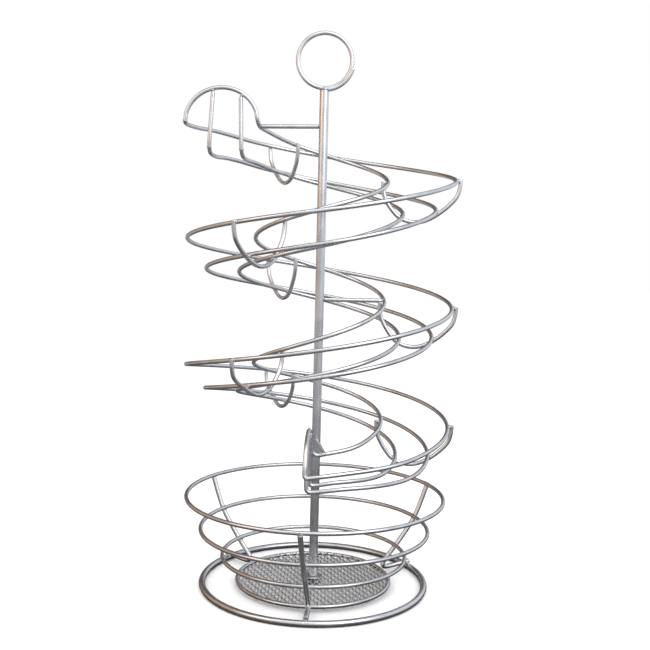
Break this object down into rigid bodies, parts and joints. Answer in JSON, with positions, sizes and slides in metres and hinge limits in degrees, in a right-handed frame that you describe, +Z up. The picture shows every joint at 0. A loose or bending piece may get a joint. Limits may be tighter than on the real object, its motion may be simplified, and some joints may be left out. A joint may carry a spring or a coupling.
{
  "type": "spiral egg rack with basket",
  "caption": "Countertop wire rack: eggs roll down a spiral track round a post to a stop above a round basket with a mesh floor; ring handle on top.",
  "frame": {"origin": "centre of the base ring, on the table plane; it lies 1.6 mm from the centre of the bounding box's bottom, because the lower end of the track reaches out further", "axes": "+Z up along the post; -Y is the front, where the lower end of the track stops; the upper end of the track is at -X"},
  "size_m": [0.1988, 0.1956, 0.3998],
  "materials": {
    "satin_silver": "satin silver plating over welded steel wire and expanded steel mesh",
    "zinc_plate": "dull zinc plate"
  },
  "bodies": {
    "basket": {"base_ring": "satin_silver", "mesh_rim": "satin_silver", "mesh_floor": "satin_silver", "basket_ring_lower": "satin_silver", "basket_ring_middle": "satin_silver", "basket_ring_top": "satin_silver", "basket_rib_front": "satin_silver", "basket_rib_back_left": "satin_silver", "basket_rib_back_right": "satin_silver", "washer_upper": "zinc_plate", "washer_lower": "zinc_plate"},
    "tower": {"centre_post": "satin_silver", "handle_ring": "satin_silver", "arm_top": "satin_silver", "arm_middle": "satin_silver", "arm_bottom": "satin_silver", "rail_outer_upper": "satin_silver", "rail_inner_upper": "satin_silver", "rail_outer_lower": "satin_silver", "rail_inner_lower": "satin_silver", "hoop_1": "satin_silver", "hoop_2": "satin_silver", "hoop_3": "satin_silver", "hoop_4": "satin_silver", "hoop_5": "satin_silver", "hoop_6": "satin_silver", "hoop_7": "satin_silver", "hoop_8": "satin_silver"},
    "screw": {"fixing_screw": "zinc_plate"}
  },
  "joints": [
    {"name": "tower_turn", "type": "hinge", "parent": "basket", "child": "tower", "pos_m": [0, 0, 0], "axis": [0, 0, 1], "continuous": true},
    {"name": "screw_turn", "type": "hinge", "parent": "tower", "child": "screw", "pos_m": [0, 0, 0], "axis": [0, 0, -1], "range_deg": [0, 180]}
  ]
}
